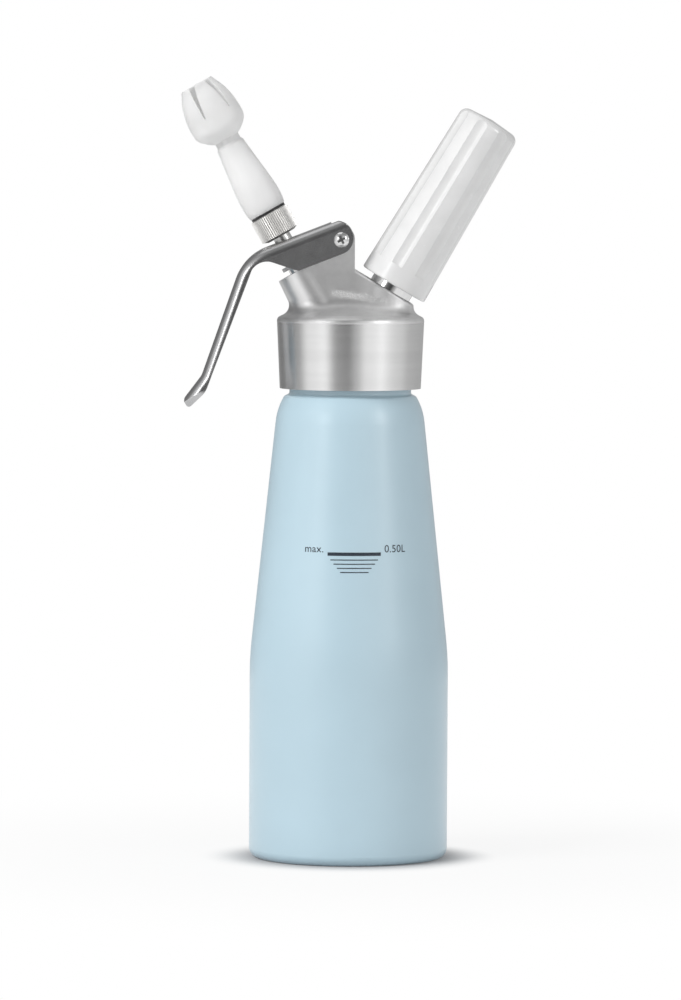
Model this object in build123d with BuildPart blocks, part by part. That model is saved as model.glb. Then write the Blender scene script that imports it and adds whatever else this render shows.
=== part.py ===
from build123d import *
from math import atan, cos, degrees, radians, sin
import os

# Half-litre cream whipper. Millimetres, +Z up, origin on the table under the bottle's centre.
# The outlet leans to -X, the charger holder leans to +X, and -Y is the side with the fill mark.
# The bottle, the head, the nozzle adapter and the charger port carry real right-hand helical
# threads. The nozzle and the holder are plain inside, with clearance for the thread they turn on.

os.makedirs("parts", exist_ok=True)

# ---------------------------------------------------------------- driving dimensions
# Bottle: spun aluminium shell of even thickness
BOTTLE_R = 39.0
BOTTLE_WALL = 1.3
BASE_RING_R = 31.0          # inner edge of the ring the bottle stands on
BASE_RECESS = 4.0
BASE_DISH_R = 27.5          # edge of the flat dish inside the ring
BASE_DISH_DROP = 1.5
CONE_START = 79.0           # height where the straight wall turns into the cone
CONE_SLOPE = 0.1055         # radius lost per millimetre of height
SHOULDER_Z = 176.5
SHOULDER_IN = 2.8           # how far the bead over the cone steps inwards, and how high it is
SHOULDER_RISE = 5.1
NECK_R = 23.9
NECK_Z = 182.6
RIM_Z = 207.5
BOTTLE_ROUNDS = (3.0, 1.5, 3.8, 130.0, 24.0, 2.0, 0.8)    # from the dish to the neck

# Main thread between bottle and head, right-hand, one start
THREAD_PITCH = 4.0
THREAD_DEPTH = 1.1
THREAD_GAP = 0.4            # radial clearance at crest and root
THREAD_LENGTH = 10.0
THREAD_Z = 190.5
THREAD_SINK = 0.1           # how far every ridge reaches into its core

# Cast head: threaded cap with a low dome on top
CAP_FOOT = 184.7
CAP_LOW_R = 27.7
CAP_HIGH_R = 28.95
CAP_EDGE_Z = 212.3
DOME_EDGE_R = 25.8
DOME_EDGE_Z = 213.9
DOME_TOP = 219.0
DOME_ROUND = 3.0
CAP_EDGE_ROUND = 1.8
CEILING_Z = 210.0
GASKET_IN_R = 20.5
GASKET_ROUND = 0.4

# Outlet tower and everything on the valve axis; heights t are measured along the axis
VALVE_TILT = 29.75
VALVE_FOOT = 196.6          # height at which the valve axis crosses the bottle's axis
TOWER_R = 9.7               # at the top; the tower is drafted, so it is wider below
TOWER_DRAFT = 0.07
TOWER_TOP = 39.9
SEAT_T = 12.0
SEAT_BOSS_R = 9.0
PASSAGE_R = 4.4
SPRING_LEDGE_T = 17.5
SPRING_BORE_R = 5.6
GLAND_LEDGE_T = 31.3
GLAND_BORE_R = 7.0
STEM_R = 3.5
STEM_BORE_R = 2.0
STEM_FOOT_T = 5.0
STEM_FLANGE_R = 5.0
STEM_FLANGE_T = 29.6
STEM_TOP_T = 62.0
FIT = 0.05                  # running clearance on the radius
STEM_FLANGE = 1.4
STEM_PORT_T = 21.0          # height of the cross holes that let the cream in
STEM_PORT_R = 1.3
GLAND_FOOT = 32.6
GLAND_NECK_R = 4.3
GLAND_HEX_FOOT = 41.9
GLAND_TOP = 43.4
GLAND_HEX_R = 6.4
SEAL_ROUND = 0.25
PLUNGER_R = 6.2
PLUNGER_FOOT = 8.2
PLUNGER_CHAMFER = 1.0
WASHER_FOOT = 10.6
WASHER_R = 6.0
VALVE_NUT = 2.6
VALVE_NUT_R = 4.9
COLLAR = 3.4
COLLAR_TOP = 50.35
COLLAR_R = 6.0
COLLAR_ROUND = 1.0
SPRING_R = 4.6
SPRING_WIRE_R = 0.45
SPRING_TURNS = 5.5
SPRING_PITCH = (STEM_FLANGE_T - SPRING_LEDGE_T - 2 * SPRING_WIRE_R - 2 * FIT) / SPRING_TURNS

# Lever: pressed channel that pivots on the web of the head
PIVOT = (-3.7, 243.1)       # x and z
WEB_HALF = 9.5
WEB_DRAFT = 0.07            # below this height the web thickens towards the dome
WEB_DRAFT_TOP = 232.0
WEB_DRAFT_ROUND = 60.0
WEB_TOWER_R = 8.6           # where the web's top edge leaves the tower
WEB_NOTCH = 1.5             # how far the web's top edge dips below the pivot
WEB_CREASE = 5.0            # the creases beside the tower and the port boss are longer than this
PORT_BLEND = 12.0
TOWER_BLEND = 16.0
DOME_BLEND = 4.0
LEVER_HALF = 12.2
LEVER_REACH = 80.0
LEVER_SLOPE = 21.4
SHEET = 1.8
BEND_R = 4.0
LEVER_END_R = 6.5
PIN_R = 2.5
PIN_HEAD_R = 3.0
BOSS_R = 5.25
LEVER_END = (-5.5, 243.7)   # centre of the rounded end beside the pivot
LEVER_BENDS = ((-41.9, 236.5), (-58.3, 189.6))
LEVER_ROUNDS = (20.0, 10.0)
GRIP_TIP = (-65.4, 180.2)
FLANGE_EDGE = ((-63.4, 176.7), (-56.8, 183.0), (-36.9, 236.2), (-20.0, 230.6))
FLANGE_ROUNDS = (0.8, 1.2, 6.0, 7.0, 7.0)
LEVER_OVERRUN = 12.0        # the folded blank runs on past the rounded end before it is trimmed
FLANGE_DEPTH = 13.0
FLANGE_TRIM = 3.0
SKIN_CLEAR = 2.0            # the outline that trims the blank stays this far off its skin
TIP_CUT = 0.8               # how far the tip's corner is cut back on both faces
GRIP_FOOT = 176.0
GRIP_CORNER = 8.0
SLOT_REACH = 20.4           # from the pivot along the plate to the middle of the slot
SLOT_LENGTH = 9.4
SLOT_WIDTH = 8.0
PIN_HEAD = 1.4              # height of the domed head
PIN_NUT = 2.4
PIN_NUT_R = 4.3
CROSS_LENGTH = 3.4
CROSS_WIDTH = 0.9
CROSS_DEPTH = 0.9
CROSS_TURN = 30.0
SIDE_WASHER_R = 3.6
WASHER_GAP = LEVER_HALF - SHEET - WEB_HALF

# Charger port and holder, on the charger axis; heights c are measured along the axis
CHARGER_TILT = 30.7
CHARGER_FOOT = 197.4
PORT_BOSS_R = 11.4
PORT_BOSS_TOP = 30.0
PORT_BOSS_ROUND = 1.2
PORT_FACE = PORT_BOSS_TOP + FIT
PORT_BORE_R = 6.6
PORT_SEAL_R = 8.0
PORT_SEAL_FOOT = 28.9
PORT_BORE_FOOT = 22.0
GAS_PASSAGE_R = 1.0
INLET_BOSS_R = 6.5
INLET_POCKET_R = 3.6
INLET_POCKET_TOP = 17.0
STUD_R = 8.7
STUD_THREAD_R = 9.8
STUD_THREAD_DEPTH = 0.6
STUD_THREAD_FOOT = 35.2
STUD_THREAD_TURNS = 2.5
STUD_PITCH = 2.0
STUD_CHAMFER = 0.6
STUD_NECK = 0.4             # plain neck between the port's face and its thread
STUD_TOP = 41.5
HOLDER_FOOT = 32.7
HOLDER_LENGTH = 74.1
HOLDER_LOW_R = 13.95
HOLDER_HIGH_R = 12.5
HOLDER_DOME = 1.0
HOLDER_ROUNDS = (0.8, 3.4)  # at the foot and at the top
HOLDER_THREAD_GAP = 0.25
SOCKET_TOP = 43.0           # where the holder's wide foot narrows to the charger's bore
SOCKET_STEP = 0.7
SOCKET_GAP = 0.3
SOCKET_ROUND = 3.0
SOCKET_EDGE_ROUND = 0.2
FLUTES = 8
FLUTE_PHASE = -103.0
FLUTE_START = 40.3
FLUTE_OVERRUN = 1.0         # the flutes run out through the rounded top
FLUTE_CUT_R = 6.0
FLUTE_DEPTH = 0.7
CHARGER_R = 9.3
CHARGER_LENGTH = 66.0
CHARGER_NECK_R = 3.75
CHARGER_NECK_LENGTH = 5.0
CHARGER_MOUTH_R = 2.15
CHARGER_SHOULDER = 8.0
CHARGER_ROUNDS = (0.6, 2.0, 8.0, 8.5)
CHARGER_WALL = 1.0
CAVITY_RISE = 0.5           # how much higher the shoulder lies inside than outside
CAVITY_ROUNDS = (2.0, 7.0, 7.5)
NECK_SEAT = 37.5            # where the tip of the charger's neck meets its gasket
GASKET_FOOT = 35.8
CHARGER_GASKET_R = 4.2
PIN_FOOT = 32.4
PIERCER_R = 2.2
NEEDLE_R = 1.3
NEEDLE_BORE_R = 0.4
NEEDLE_TIP = 39.8
NEEDLE_TAPER = 1.6
NEEDLE_TIP_R = 0.55
FLAP = 1.4
FLAP_R = 3.2
FLAP_FOOT_R = 2.7
FLAP_TOP_R = 3.0
FLAP_EDGE = 0.6
RETAINER = 2.6
RETAINER_BORE_R = 1.2
RETAINER_SLOT = 0.8

# Knurled adapter, seal ring and tulip nozzle
ADAPTER_FOOT = 55.0
ADAPTER_TOP = 65.1
ADAPTER_R = 7.95
ADAPTER_CHAMFER = 0.8
ADAPTER_NARROWS = 2.2       # how far the chamfer at the foot steps inwards
ADAPTER_EDGE = 0.3
KNURLS = 56
KNURL_OVERCUT = 0.1
NOZZLE_STUD_R = 5.0
NOZZLE_THREAD_DEPTH = 0.5
NOZZLE_THREAD_FOOT = 67.0
NOZZLE_THREAD_TURNS = 3.5
NOZZLE_STUD_PITCH = 1.5
NOZZLE_STUD_TOP = 73.5
SEAL_RING = 1.0
NOZZLE_FOOT = ADAPTER_TOP + SEAL_RING
SEAL_RING_R = 7.25
KNURL_DEPTH = 0.4
NOZZLE_SOCKET_R = 5.3
NOZZLE_SOCKET_TOP = 76.0
NOZZLE_SOCKET_CONE = 4.0
NOZZLE_BORE_R = 3.4
NOZZLE_SKIRT = ((7.5, NOZZLE_FOOT), (8.15, 70.5), (8.05, 75.0), (7.3, 82.0), (6.35, 90.0),
                (5.7, 95.7))
NOZZLE_NECK = ((5.05, 96.6), (5.05, 98.6))
NOZZLE_TOP = 123.0
NOZZLE_BULB = ((5.5, 98.9), (7.9, 100.5), (10.2, 102.9), (10.95, 107.5), (10.4, 113.3),
               (8.75, 118.8), (6.75, NOZZLE_TOP))
NOZZLE_HOLLOW = ((5.8, NOZZLE_TOP), (9.0, 113.5), (9.6, 107.3), (7.3, 102.4),
                 (NOZZLE_BORE_R, 100.4))
PETALS = 6
PETAL_PHASE = -108.0
SLIT_FOOT = 109.2
SLIT_FOOT_HALF = 0.3
SLIT_HALF = 1.3


# ---------------------------------------------------------------- axes and planes
class Leaning:
    """An axis in the XZ plane that leans from the vertical; positive tilt leans to +X."""

    def __init__(self, tilt, foot):
        lean = radians(tilt)
        self.origin = Vector(0, 0, foot)
        self.up = Vector(sin(lean), 0, cos(lean))
        self.right = Vector(cos(lean), 0, -sin(lean))
        self.axis = Axis(self.origin, self.up)
        self.section = Plane(self.origin, x_dir=self.right, z_dir=(0, -1, 0))

    def at(self, height, angle=0.0):
        """Plane across the axis at a height along it, turned by an angle; +90 faces +Y."""
        turn = radians(angle)
        across = self.right * cos(turn) + Vector(0, 1, 0) * sin(turn)
        return Plane(self.origin + self.up * height, x_dir=across, z_dir=self.up)

    def point(self, radius, height):
        """World X and Z of a point in the section plane."""
        place = self.origin + self.right * radius + self.up * height
        return (place.X, place.Z)


valve = Leaning(-VALVE_TILT, VALVE_FOOT)
charge = Leaning(CHARGER_TILT, CHARGER_FOOT)


def ring(plane, outer, inner, height):
    """Add a plain tube that starts on a plane."""
    with BuildSketch(plane) as outline:
        Circle(outer)
        if inner:
            Circle(inner, mode=Mode.SUBTRACT)
    extrude(outline.sketch, amount=height)


def bore(plane, radius, height):
    """Cut a round hole that starts on a plane."""
    with BuildSketch(plane) as outline:
        Circle(radius)
    extrude(outline.sketch, amount=height, mode=Mode.SUBTRACT)


def turned(section, axis, *points):
    """Add the solid that a closed outline of (radius, height) points sweeps round an axis."""
    with BuildSketch(section) as outline:
        with BuildLine():
            Polyline(*points, close=True)
        make_face()
    revolve(outline.sketch, axis=axis)


def path_inside(points, radii, distance):
    """Corners and fillet radii of the path that runs at a distance to the left of another."""
    steps = [(after - before).normalized() for before, after in zip(points, points[1:])]
    normals = [Vector(-step.Y, step.X) for step in steps]
    corners = [points[0] + normals[0] * distance]
    rounds = []
    for k, radius in enumerate(radii):
        near, far = normals[k], normals[k + 1]
        corners.append(points[k + 1] + (near + far) * (distance / (1 + near.dot(far))))
        turns_left = steps[k].cross(steps[k + 1]).Z > 0
        rounds.append(max(radius - distance if turns_left else radius + distance, 0.3))
    corners.append(points[-1] + normals[-1] * distance)
    return corners, rounds


def vectors(*pairs):
    """Points of an outline as vectors."""
    return [Vector(across, up) for across, up in pairs]


def thread(place, core, height, pitch, depth, root):
    """Add a helical ridge on a core radius; a negative depth points inwards.

    Place gives centre and direction, root is half the ridge's width at the core."""
    centre, direction = place
    sink = THREAD_SINK if depth > 0 else -THREAD_SINK
    with BuildLine() as path:
        Helix(pitch=pitch, height=height, radius=core - sink, center=centre, direction=direction)
    start = path.line @ 0
    outward = (start - Vector(*centre)).normalized()
    crest = depth + sink
    with BuildSketch(Plane(origin=start, x_dir=outward, z_dir=path.line % 0)) as ridge:
        with BuildLine():
            Polyline((0, -root), (crest, -root / 2), (crest, root / 2), (0, root), close=True)
        make_face()
    sweep(ridge.sketch, path=path.wires()[0], is_frenet=True)


# ---------------------------------------------------------------- bottle
cone_top_r = BOTTLE_R - CONE_SLOPE * (SHOULDER_Z - CONE_START)
bottle_path = vectors(
    (0, BASE_RECESS), (BASE_DISH_R, BASE_RECESS - BASE_DISH_DROP), (BASE_RING_R, 0),
    (BOTTLE_R, 0), (BOTTLE_R, CONE_START), (cone_top_r, SHOULDER_Z),
    (cone_top_r - SHOULDER_IN, SHOULDER_Z + SHOULDER_RISE), (NECK_R, NECK_Z), (NECK_R, RIM_Z))
lining_path, lining_rounds = path_inside(bottle_path, BOTTLE_ROUNDS, BOTTLE_WALL)
with BuildPart() as bottle:
    with BuildSketch(Plane.XZ):
        with BuildLine():
            outside = FilletPolyline(*bottle_path, radius=BOTTLE_ROUNDS)
            lining = FilletPolyline(*lining_path, radius=lining_rounds)
            Polyline(lining @ 0, (0, BASE_RECESS + BOTTLE_WALL), outside @ 0)
            Line(outside @ 1, lining @ 1)
        make_face()
    revolve(axis=Axis.Z)
    rim = bottle.edges().filter_by(GeomType.CIRCLE).group_by(Axis.Z)[-1]
    fillet(rim, BOTTLE_WALL / 3)
    thread(((0, 0, THREAD_Z), (0, 0, 1)), NECK_R, THREAD_LENGTH, THREAD_PITCH, THREAD_DEPTH,
           THREAD_DEPTH)
bottle.part.label = "bottle"
export_step(bottle.part, "parts/bottle.step")

# ---------------------------------------------------------------- head gasket
with BuildPart() as head_gasket:
    ring(Plane.XY.offset(RIM_Z), NECK_R + THREAD_DEPTH, GASKET_IN_R, CEILING_Z - RIM_Z)
    fillet(head_gasket.edges().filter_by(GeomType.CIRCLE), GASKET_ROUND)
head_gasket.part.label = "head_gasket"
export_step(head_gasket.part, "parts/head_gasket.step")

# ---------------------------------------------------------------- cast head
# Web that carries the lever's pivot; its back runs level with the port boss, and its sides are
# upright beside the lever and drafted below it
pivot_x, pivot_z = PIVOT
web_reach = (PORT_BOSS_TOP * charge.up.X - pivot_x - BOSS_R) / charge.right.X
web_foot_half = WEB_HALF + WEB_DRAFT * (WEB_DRAFT_TOP - CEILING_Z)
with BuildPart() as web:
    with BuildSketch(Plane.XZ):
        with BuildLine():
            Polyline(
                valve.point(0, SEAT_T), valve.point(0, TOWER_TOP),
                valve.point(WEB_TOWER_R, TOWER_TOP), (pivot_x - BOSS_R, pivot_z - WEB_NOTCH),
                PIVOT, (pivot_x + BOSS_R, pivot_z), charge.point(-web_reach, PORT_BOSS_TOP),
                charge.point(0, PORT_BOSS_TOP), charge.point(0, SEAT_T), close=True)
        make_face()
        with Locations(PIVOT):
            Circle(BOSS_R)
    extrude(amount=2 * WEB_HALF, both=True)
    with BuildSketch(Plane.YZ):
        with BuildLine():
            side = FilletPolyline((WEB_HALF, pivot_z + 2 * BOSS_R), (WEB_HALF, WEB_DRAFT_TOP),
                                  (web_foot_half, CEILING_Z), radius=WEB_DRAFT_ROUND)
            Polyline(side @ 1, (web_foot_half, CAP_FOOT), (0, CAP_FOOT),
                     (0, pivot_z + 2 * BOSS_R), side @ 0)
        make_face()
        mirror(about=Plane.YZ)
    extrude(amount=2 * BOTTLE_R, both=True, mode=Mode.INTERSECT)

cap_bore_r = NECK_R + THREAD_DEPTH + THREAD_GAP
with BuildPart() as head_casting:
    # Cap and dome, solid at first
    with BuildSketch(Plane.XZ):
        with BuildLine():
            cap_side = FilletPolyline(
                (0, DOME_TOP), (DOME_EDGE_R, DOME_EDGE_Z), (CAP_HIGH_R, CAP_EDGE_Z),
                (CAP_LOW_R, CAP_FOOT), radius=(DOME_ROUND, CAP_EDGE_ROUND))
            Polyline(cap_side @ 1, (0, CAP_FOOT), cap_side @ 0)
        make_face()
    revolve(axis=Axis.Z)
    add(web.part)
    # Outlet tower and charger port boss
    tower_foot_r = TOWER_R + TOWER_DRAFT * (TOWER_TOP - SEAT_T)
    turned(valve.section, valve.axis, (0, SEAT_T), (tower_foot_r, SEAT_T), (TOWER_R, TOWER_TOP),
           (0, TOWER_TOP))
    ring(charge.at(SEAT_T), PORT_BOSS_R, 0, PORT_BOSS_TOP - SEAT_T)
    # Cast blends: boss to web, the rim of both, tower to web, then everything to the dome
    creases = head_casting.edges().filter_by(
        lambda e: e.length > WEB_CREASE and abs(e.center().Y) > WEB_HALF)
    fillet(creases.filter_by(GeomType.ELLIPSE), PORT_BLEND)
    rim = head_casting.edges().filter_by(
        lambda e: max(abs((e @ u - charge.origin).dot(charge.up) - PORT_BOSS_TOP)
                      for u in (0, 0.5, 1)) < FIT / 10 and abs((e % 0).Y) < 1 - FIT)
    fillet(rim, PORT_BOSS_ROUND)
    creases = head_casting.edges().filter_by(
        lambda e: e.length > WEB_CREASE and abs(e.center().Y) > WEB_HALF)
    fillet(creases.filter_by(lambda e: e.geom_type == GeomType.HYPERBOLA
                             and e.center().X < pivot_x - BOSS_R), TOWER_BLEND)
    feet = head_casting.edges().filter_by(
        lambda e: DOME_EDGE_Z < e.center().Z < DOME_TOP and e.bounding_box().max.Z < DOME_TOP
        and e.geom_type not in (GeomType.LINE, GeomType.CIRCLE))
    fillet(feet, DOME_BLEND)
    # Inside of the cap, with the bosses for the valve seat and the gas inlet
    bore(Plane.XY.offset(CAP_FOOT), cap_bore_r, CEILING_Z - CAP_FOOT)
    ring(valve.at(SEAT_T), SEAT_BOSS_R, 0, SPRING_LEDGE_T - SEAT_T)
    ring(charge.at(SEAT_T), INLET_BOSS_R, 0, SPRING_LEDGE_T - SEAT_T)
    # Bore of the outlet tower, from below
    bore(valve.at(SEAT_T), PASSAGE_R, TOWER_TOP)
    bore(valve.at(SPRING_LEDGE_T), SPRING_BORE_R, TOWER_TOP)
    bore(valve.at(GLAND_LEDGE_T), GLAND_BORE_R, TOWER_TOP)
    # Bore of the charger port: check valve pocket, gas passage, threaded bore, seal recess
    bore(charge.at(SEAT_T), INLET_POCKET_R, INLET_POCKET_TOP - SEAT_T)
    bore(charge.at(SEAT_T), GAS_PASSAGE_R, PORT_BOSS_TOP - SEAT_T)
    bore(charge.at(PORT_BORE_FOOT), PORT_BORE_R, PORT_FACE - PORT_BORE_FOOT)
    bore(charge.at(PORT_SEAL_FOOT), PORT_SEAL_R, PORT_BOSS_TOP - PORT_SEAL_FOOT)
    # Pivot hole through the web
    with BuildSketch(Plane.XZ):
        with Locations(PIVOT):
            Circle(PIN_R + FIT)
    extrude(amount=WEB_HALF * 2, both=True, mode=Mode.SUBTRACT)
    thread(((0, 0, THREAD_Z - THREAD_PITCH / 2), (0, 0, 1)), cap_bore_r, THREAD_LENGTH,
           THREAD_PITCH, -THREAD_DEPTH, THREAD_DEPTH)
head_casting.part.label = "head_casting"
export_step(head_casting.part, "parts/head_casting.step")

# ---------------------------------------------------------------- gland, closing the tower
with BuildPart() as gland_nut:
    ring(valve.at(GLAND_FOOT), GLAND_BORE_R - FIT, 0, TOWER_TOP - GLAND_FOOT)
    ring(valve.at(TOWER_TOP), GLAND_NECK_R, 0, GLAND_TOP - TOWER_TOP)
    with BuildSketch(valve.at(GLAND_HEX_FOOT)):
        RegularPolygon(GLAND_HEX_R, 6)
    extrude(amount=GLAND_TOP - GLAND_HEX_FOOT)
    bore(valve.at(GLAND_FOOT), STEM_R + FIT, GLAND_TOP - GLAND_FOOT)
gland_nut.part.label = "gland_nut"
export_step(gland_nut.part, "parts/gland_nut.step")

with BuildPart() as stem_seal:
    ring(valve.at(GLAND_LEDGE_T), GLAND_BORE_R - FIT, STEM_R + FIT, GLAND_FOOT - GLAND_LEDGE_T)
    fillet(stem_seal.edges().filter_by(GeomType.CIRCLE), SEAL_ROUND)
stem_seal.part.label = "stem_seal"
export_step(stem_seal.part, "parts/stem_seal.step")

# ---------------------------------------------------------------- valve, all on the stem
with BuildPart() as valve_stem:
    ring(valve.at(STEM_FOOT_T), STEM_R, 0, STEM_TOP_T - STEM_FOOT_T)
    ring(valve.at(STEM_FLANGE_T), STEM_FLANGE_R, 0, STEM_FLANGE)
    bore(valve.at(STEM_PORT_T - STEM_BORE_R), STEM_BORE_R, STEM_TOP_T)
    for turn in (0, 90):
        across = valve.at(STEM_PORT_T, turn)
        with BuildSketch(Plane(across.origin, x_dir=across.y_dir, z_dir=across.x_dir)):
            Circle(STEM_PORT_R)
        extrude(amount=STEM_R * 2, both=True, mode=Mode.SUBTRACT)
valve_stem.part.label = "valve_stem"
export_step(valve_stem.part, "parts/valve_stem.step")

with BuildPart() as valve_seat_washer:
    ring(valve.at(WASHER_FOOT), WASHER_R, STEM_R, SEAT_T - FIT - WASHER_FOOT)
valve_seat_washer.part.label = "valve_seat_washer"
export_step(valve_seat_washer.part, "parts/valve_seat_washer.step")

with BuildPart() as valve_plunger:
    turned(valve.section, valve.axis, (STEM_R, PLUNGER_FOOT),
           (PLUNGER_R - PLUNGER_CHAMFER, PLUNGER_FOOT),
           (PLUNGER_R, PLUNGER_FOOT + PLUNGER_CHAMFER), (PLUNGER_R, WASHER_FOOT),
           (STEM_R, WASHER_FOOT))
valve_plunger.part.label = "valve_plunger"
export_step(valve_plunger.part, "parts/valve_plunger.step")

with BuildPart() as valve_nut:
    with BuildSketch(valve.at(PLUNGER_FOOT - VALVE_NUT)):
        RegularPolygon(VALVE_NUT_R, 6)
        Circle(STEM_R, mode=Mode.SUBTRACT)
    extrude(amount=VALVE_NUT)
valve_nut.part.label = "valve_nut"
export_step(valve_nut.part, "parts/valve_nut.step")

with BuildPart() as valve_collar:
    ring(valve.at(COLLAR_TOP - COLLAR), COLLAR_R, STEM_R, COLLAR)
    crown = valve_collar.edges().filter_by(
        lambda e: e.geom_type == GeomType.CIRCLE and e.radius > COLLAR_R - FIT)
    fillet(crown, COLLAR_ROUND)
valve_collar.part.label = "valve_collar"
export_step(valve_collar.part, "parts/valve_collar.step")

with BuildPart() as valve_spring:
    spring_foot = valve.at(SPRING_LEDGE_T + SPRING_WIRE_R).origin
    with BuildLine() as coil:
        Helix(pitch=SPRING_PITCH, height=SPRING_PITCH * SPRING_TURNS, radius=SPRING_R,
              center=spring_foot, direction=valve.up)
    with BuildSketch(Plane(origin=coil.line @ 0, z_dir=coil.line % 0)):
        Circle(SPRING_WIRE_R)
    sweep(path=coil.wires()[0], is_frenet=True)
valve_spring.part.label = "valve_spring"
export_step(valve_spring.part, "parts/valve_spring.step")

# ---------------------------------------------------------------- nozzle adapter and seal ring
knurl_foot = ADAPTER_FOOT + ADAPTER_CHAMFER
knurl_top = ADAPTER_TOP - ADAPTER_EDGE
adapter_core_r = ADAPTER_R - KNURL_DEPTH - FIT
nozzle_stud_core_r = NOZZLE_STUD_R - NOZZLE_THREAD_DEPTH
with BuildPart() as nozzle_adapter:
    with BuildSketch(valve.at(knurl_foot)):
        Circle(ADAPTER_R)
        with PolarLocations(ADAPTER_R + KNURL_OVERCUT, KNURLS):
            RegularPolygon(KNURL_DEPTH + KNURL_OVERCUT, 4, mode=Mode.SUBTRACT)
    extrude(amount=knurl_top - knurl_foot)
    turned(valve.section, valve.axis, (0, ADAPTER_FOOT),
           (ADAPTER_R - ADAPTER_NARROWS, ADAPTER_FOOT), (adapter_core_r, knurl_foot),
           (adapter_core_r, knurl_top), (adapter_core_r - ADAPTER_EDGE, ADAPTER_TOP),
           (nozzle_stud_core_r, ADAPTER_TOP),
           (nozzle_stud_core_r, NOZZLE_STUD_TOP - ADAPTER_EDGE),
           (nozzle_stud_core_r - ADAPTER_EDGE, NOZZLE_STUD_TOP), (0, NOZZLE_STUD_TOP))
    bore(valve.at(ADAPTER_FOOT), STEM_R, STEM_TOP_T - ADAPTER_FOOT)
    bore(valve.at(ADAPTER_FOOT), STEM_BORE_R, NOZZLE_STUD_TOP)
    thread((valve.at(NOZZLE_THREAD_FOOT).origin, valve.up), nozzle_stud_core_r,
           NOZZLE_STUD_PITCH * NOZZLE_THREAD_TURNS, NOZZLE_STUD_PITCH, NOZZLE_THREAD_DEPTH,
           NOZZLE_THREAD_DEPTH)
nozzle_adapter.part.label = "nozzle_adapter"
export_step(nozzle_adapter.part, "parts/nozzle_adapter.step")

with BuildPart() as nozzle_seal_ring:
    ring(valve.at(ADAPTER_TOP + FIT), SEAL_RING_R, NOZZLE_STUD_R + 2 * FIT, SEAL_RING - 2 * FIT)
nozzle_seal_ring.part.label = "nozzle_seal_ring"
export_step(nozzle_seal_ring.part, "parts/nozzle_seal_ring.step")

# ---------------------------------------------------------------- tulip nozzle
with BuildPart() as tulip_nozzle:
    with BuildSketch(valve.section):
        with BuildLine():
            skirt = Spline(*NOZZLE_SKIRT, tangents=((0.35, 1), (-0.12, 1)))
            bulb = Spline(*NOZZLE_BULB, tangents=((1, 0.35), (-0.42, 1)))
            hollow = Spline(*NOZZLE_HOLLOW, tangents=((0.42, -1), (-1, -0.3)))
            Polyline(skirt @ 1, *NOZZLE_NECK, bulb @ 0)
            Line(bulb @ 1, hollow @ 0)
            Polyline(hollow @ 1, (NOZZLE_BORE_R, NOZZLE_SOCKET_TOP + NOZZLE_SOCKET_CONE),
                     (NOZZLE_SOCKET_R, NOZZLE_SOCKET_TOP), (NOZZLE_SOCKET_R, NOZZLE_FOOT),
                     skirt @ 0)
        make_face()
    revolve(axis=valve.axis)
    # Slits between the petals, wider towards the mouth
    slit_length = NOZZLE_TOP - SLIT_FOOT + FIT
    for k in range(PETALS):
        sight = valve.at(SLIT_FOOT, PETAL_PHASE + k * 360 / PETALS)
        with BuildSketch(Plane(sight.origin, x_dir=sight.y_dir, z_dir=sight.x_dir)):
            with BuildLine():
                Polyline((-SLIT_FOOT_HALF, 0), (SLIT_FOOT_HALF, 0), (SLIT_HALF, slit_length),
                         (-SLIT_HALF, slit_length), close=True)
            make_face()
        extrude(amount=NOZZLE_TOP - SLIT_FOOT, mode=Mode.SUBTRACT)
tulip_nozzle.part.label = "tulip_nozzle"
export_step(tulip_nozzle.part, "parts/tulip_nozzle.step")

# ---------------------------------------------------------------- lever
# Side view of the outer skin, from the top plate's end down to the tip of the grip
ridge = Vector(cos(radians(LEVER_SLOPE)), sin(radians(LEVER_SLOPE)))
ridge_normal = Vector(-ridge.Y, ridge.X)
lever_end = Vector(*LEVER_END)
plate_end = lever_end + ridge_normal * LEVER_END_R
heel = lever_end - ridge_normal * LEVER_END_R
skin_bends = vectors(*LEVER_BENDS)
grip_tip = Vector(*GRIP_TIP)
tip_step = (grip_tip - skin_bends[-1]).normalized()
tip_face = (Vector(*FLANGE_EDGE[0]) - grip_tip).normalized()
tip_back = grip_tip - tip_step * TIP_CUT
tip_front = grip_tip + tip_face * TIP_CUT
clear_path, clear_rounds = path_inside([plate_end, *skin_bends, grip_tip], LEVER_ROUNDS,
                                       -SKIN_CLEAR)
clear_path[-1] = tip_back * 2 - tip_front


def channel(half, skin_depth, depth, bend, overrun):
    """Add a bar with two rounded edges that follows the lever's skin at a depth below it."""
    with BuildLine() as side_view:
        FilletPolyline(plate_end + ridge * LEVER_OVERRUN, *skin_bends,
                       grip_tip + tip_step * overrun, radius=LEVER_ROUNDS)
    route = Plane.XZ.from_local_coords(side_view.wires()[0])
    across = Plane(origin=route @ 0, x_dir=(0, 1, 0), z_dir=route % 0)
    with BuildSketch(across) as profile:
        with BuildLine():
            FilletPolyline((-half, depth), (-half, skin_depth), (half, skin_depth), (half, depth),
                           radius=bend)
            Line((half, depth), (-half, depth))
        make_face()
    sweep(profile.sketch, path=route)


def grip_plan(half, foot, corner):
    """Keep what lies inside the lever's front view, which has round corners at the foot."""
    with BuildSketch(Plane.YZ.offset(-LEVER_REACH)) as plan:
        with Locations((0, foot)):
            RectangleRounded(2 * half, 2 * LEVER_REACH, corner, align=(Align.CENTER, Align.MIN))
    extrude(plan.sketch, amount=2 * LEVER_REACH, mode=Mode.INTERSECT)


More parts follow.
